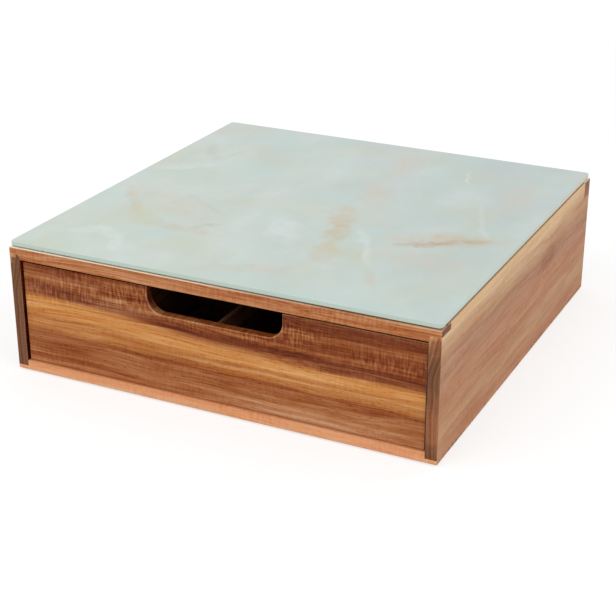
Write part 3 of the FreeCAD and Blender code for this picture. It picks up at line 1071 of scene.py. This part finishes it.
class TeaBoxFeet(bpy.types.Operator):
    """Gives the feet their anti-slip rubber"""

    bl_idname = "tea_box.feet"
    bl_label = "Feet"

    def execute(self, context):
        # Translucent polyurethane rubber, die-cut: milky, dull, finely pitted, and greyer where dust sticks
        colours = context.scene.tea_box_soft_parts
        material, tree = new_material("Translucent anti-slip rubber")
        coordinates = add_node(tree, "ShaderNodeTexCoord").outputs["Object"]
        pitted = add_node(
            tree, "ShaderNodeTexNoise", None, {"Vector": coordinates, "Scale": 1 / FOOT_PIT, "Detail": 4.0}
        )
        clean = add_node(
            tree, "ShaderNodeTexNoise", None, {"Vector": coordinates, "Scale": 1 / FOOT_DUST, "Detail": 2.0}
        )
        colour = overlaid(tree, colours.foot_dusty, [(clean, colours.foot_milky)])
        bump = add_node(
            tree, "ShaderNodeBump", None, {"Strength": 0.4, "Distance": 0.1 * MM, "Height": pitted}
        )
        roughness = add_node(
            tree, "ShaderNodeMapRange", None, {"Value": pitted, "To Min": 0.5, "To Max": 0.8}
        )
        shader = add_node(
            tree,
            "ShaderNodeBsdfPrincipled",
            None,
            {
                "Base Color": colour,
                "Roughness": roughness,
                "IOR": 1.5,
                "Transmission Weight": 0.25,
                "Normal": bump,
            },
        )
        add_node(tree, "ShaderNodeOutputMaterial", None, {"Surface": shader})
        dress(material, [name for name in NODES if name.startswith("foot")])
        return {"FINISHED"}


# The studio, in metres
MIDDLE = Vector((0, 0, 40 * MM))  # of the box, where the lamps and the camera point
KEY_PLACE, KEY_SIZE = (-1.5, -2.1, 1.5), 3.1
FILL_PLACE, FILL_SIZE = (2.3, -0.7, 1.2), 2.8
FLOOR_SIZE = 60.0
FLOOR_SHADED = (0.25, 0.9)  # from the box: where the floor starts to turn plain white, and where it is
SENSOR_WIDTH = 36.0  # of the camera, in millimetres

WHITE = (1.0, 1.0, 1.0)
FLOOR_GREY = (0.8, 0.8, 0.8)
# What the camera sees of the floor by the box: grey paint lifted by a glow, white with a soft shadow
SHADOW_GREY = (0.4, 0.4, 0.4)
FLOOR_GLOW = 0.66


class TeaBoxStudio(bpy.types.Operator):
    """Builds the pale floor, the lamps, the white surroundings and the camera"""

    bl_idname = "tea_box.studio"
    bl_label = "Studio"

    def execute(self, context):
        scene = context.scene
        stage = scene.tea_box_stage
        scene.view_settings.view_transform = "Standard"
        self.add_floor()
        self.light_room(scene, stage)
        self.add_lamp("Key lamp", KEY_PLACE, KEY_SIZE, stage.key_power)
        self.add_lamp("Side lamp", FILL_PLACE, FILL_SIZE, stage.fill_power)
        self.add_camera(scene, stage)
        return {"FINISHED"}

    def seen_directly(self, tree):
        """1 for what the camera sees straight, in a reflection or through glass."""
        rays = add_node(tree, "ShaderNodeLightPath").outputs
        total = rays["Is Camera Ray"]
        for name in ("Is Glossy Ray", "Is Transmission Ray"):
            total = add_node(tree, "ShaderNodeMath", {"operation": "MAXIMUM"}, {0: total, 1: rays[name]})
        return total

    def add_floor(self):
        """A smooth pale floor that keeps a soft shadow and turns plain white away from the box."""
        bpy.ops.object.select_all(action="DESELECT")
        bpy.ops.mesh.primitive_plane_add(size=FLOOR_SIZE, location=(0, 0, 0))
        floor = bpy.context.object
        floor.name = "studio_floor"
        material, tree = new_material("Pale studio floor")
        plain = add_node(tree, "ShaderNodeBsdfDiffuse", None, {"Color": FLOOR_GREY})
        shaded = add_node(tree, "ShaderNodeBsdfDiffuse", None, {"Color": SHADOW_GREY})
        glow = add_node(tree, "ShaderNodeEmission", None, {"Strength": FLOOR_GLOW})
        shaded = add_node(tree, "ShaderNodeAddShader", None, {0: shaded, 1: glow})
        place = add_node(tree, "ShaderNodeTexCoord").outputs["Object"]
        distance = add_node(tree, "ShaderNodeVectorMath", {"operation": "LENGTH"}, {0: place})
        near, far = FLOOR_SHADED
        away = {"Value": distance.outputs["Value"], "From Min": near, "From Max": far}
        away = add_node(tree, "ShaderNodeMapRange", SMOOTH, away)
        white = add_node(tree, "ShaderNodeEmission", None, {"Strength": 1.0})
        shown = add_node(tree, "ShaderNodeMixShader", None, {0: away, 1: shaded, 2: white})
        mix = add_node(tree, "ShaderNodeMixShader", None, {0: self.seen_directly(tree), 1: plain, 2: shown})
        add_node(tree, "ShaderNodeOutputMaterial", None, {"Surface": mix})
        floor.data.materials.append(material)

    def light_room(self, scene, stage):
        """Even white light from all round, and plain white behind the box."""
        world = bpy.data.worlds.new("Studio surroundings")
        scene.world = world
        world.use_nodes = True
        tree = world.node_tree
        tree.nodes.clear()
        light = add_node(tree, "ShaderNodeBackground", None, {"Color": WHITE, "Strength": stage.daylight})
        white = add_node(tree, "ShaderNodeBackground", None, {"Color": WHITE, "Strength": 1.0})
        mix = add_node(tree, "ShaderNodeMixShader", None, {0: self.seen_directly(tree), 1: light, 2: white})
        add_node(tree, "ShaderNodeOutputWorld", None, {"Surface": mix})

    def add_lamp(self, name, place, size, power):
        """A large square soft lamp that faces the box. The glass mirrors the white room and not the lamp."""
        bpy.ops.object.light_add(type="AREA", location=place)
        lamp = bpy.context.object
        lamp.name = name
        lamp.data.size = size
        lamp.data.energy = power
        lamp.visible_glossy = False
        lamp.rotation_euler = (MIDDLE - Vector(place)).to_track_quat("-Z", "Y").to_euler()

    def add_camera(self, scene, stage):
        """The camera, turned to the box and then slid a little sideways and down."""
        a, e = stage.azimuth, stage.elevation
        right = Vector((math.cos(a), math.sin(a), 0))
        up = Vector((-math.sin(a) * math.sin(e), math.cos(a) * math.sin(e), math.cos(e)))
        back = right.cross(up)
        place = MIDDLE + back * stage.distance + right * stage.slide[0] + up * stage.slide[1]
        bpy.ops.object.camera_add(location=place, rotation=(math.pi / 2 - e, 0, a))
        camera = bpy.context.object
        camera.name = "Camera"
        camera.data.sensor_width = SENSOR_WIDTH
        camera.data.lens = stage.lens
        scene.camera = camera


STEPS = (
    TeaBoxSides,
    TeaBoxRails,
    TeaBoxBottomBoard,
    TeaBoxBackPanel,
    TeaBoxDrawerFront,
    TeaBoxTray,
    TeaBoxGlassTop,
    TeaBoxGlassPads,
    TeaBoxFeet,
    TeaBoxStudio,
)
SETTINGS = {
    "tea_box_acacia": TeaBoxAcacia,
    "tea_box_glass": TeaBoxGlass,
    "tea_box_soft_parts": TeaBoxSoftParts,
    "tea_box_stage": TeaBoxStage,
}


class TeaBoxPanel(bpy.types.Panel):
    """Lists the settings and the steps that finish the tea box"""

    bl_idname = "VIEW3D_PT_tea_box"
    bl_label = "Tea bag drawer box"
    bl_space_type = "VIEW_3D"
    bl_region_type = "UI"
    bl_category = "Tea box"

    def draw(self, context):
        for name, group in SETTINGS.items():
            column = self.layout.column(heading=group.__doc__)
            for setting in group.__annotations__:
                column.prop(getattr(context.scene, name), setting)
        for step in STEPS:
            self.layout.operator(step.bl_idname)


CLASSES = (*SETTINGS.values(), *STEPS, TeaBoxPanel)


def register():
    """Adds the settings, the steps and the panel."""
    for item in CLASSES:
        bpy.utils.register_class(item)
    for name, group in SETTINGS.items():
        setattr(bpy.types.Scene, name, bpy.props.PointerProperty(type=group))


def unregister():
    """Takes the settings, the steps and the panel away."""
    for name in SETTINGS:
        delattr(bpy.types.Scene, name)
    for item in reversed(CLASSES):
        bpy.utils.unregister_class(item)


def main():
    """Takes every step in turn and writes how large the CAD and the visual model are."""
    register()
    bpy.ops.tea_box.sides()
    bpy.ops.tea_box.rails()
    bpy.ops.tea_box.bottom_board()
    bpy.ops.tea_box.back_panel()
    bpy.ops.tea_box.drawer_front()
    bpy.ops.tea_box.tray()
    bpy.ops.tea_box.glass_top()
    bpy.ops.tea_box.glass_pads()
    bpy.ops.tea_box.feet()
    bpy.ops.tea_box.studio()


if __name__ == "__main__":
    main()
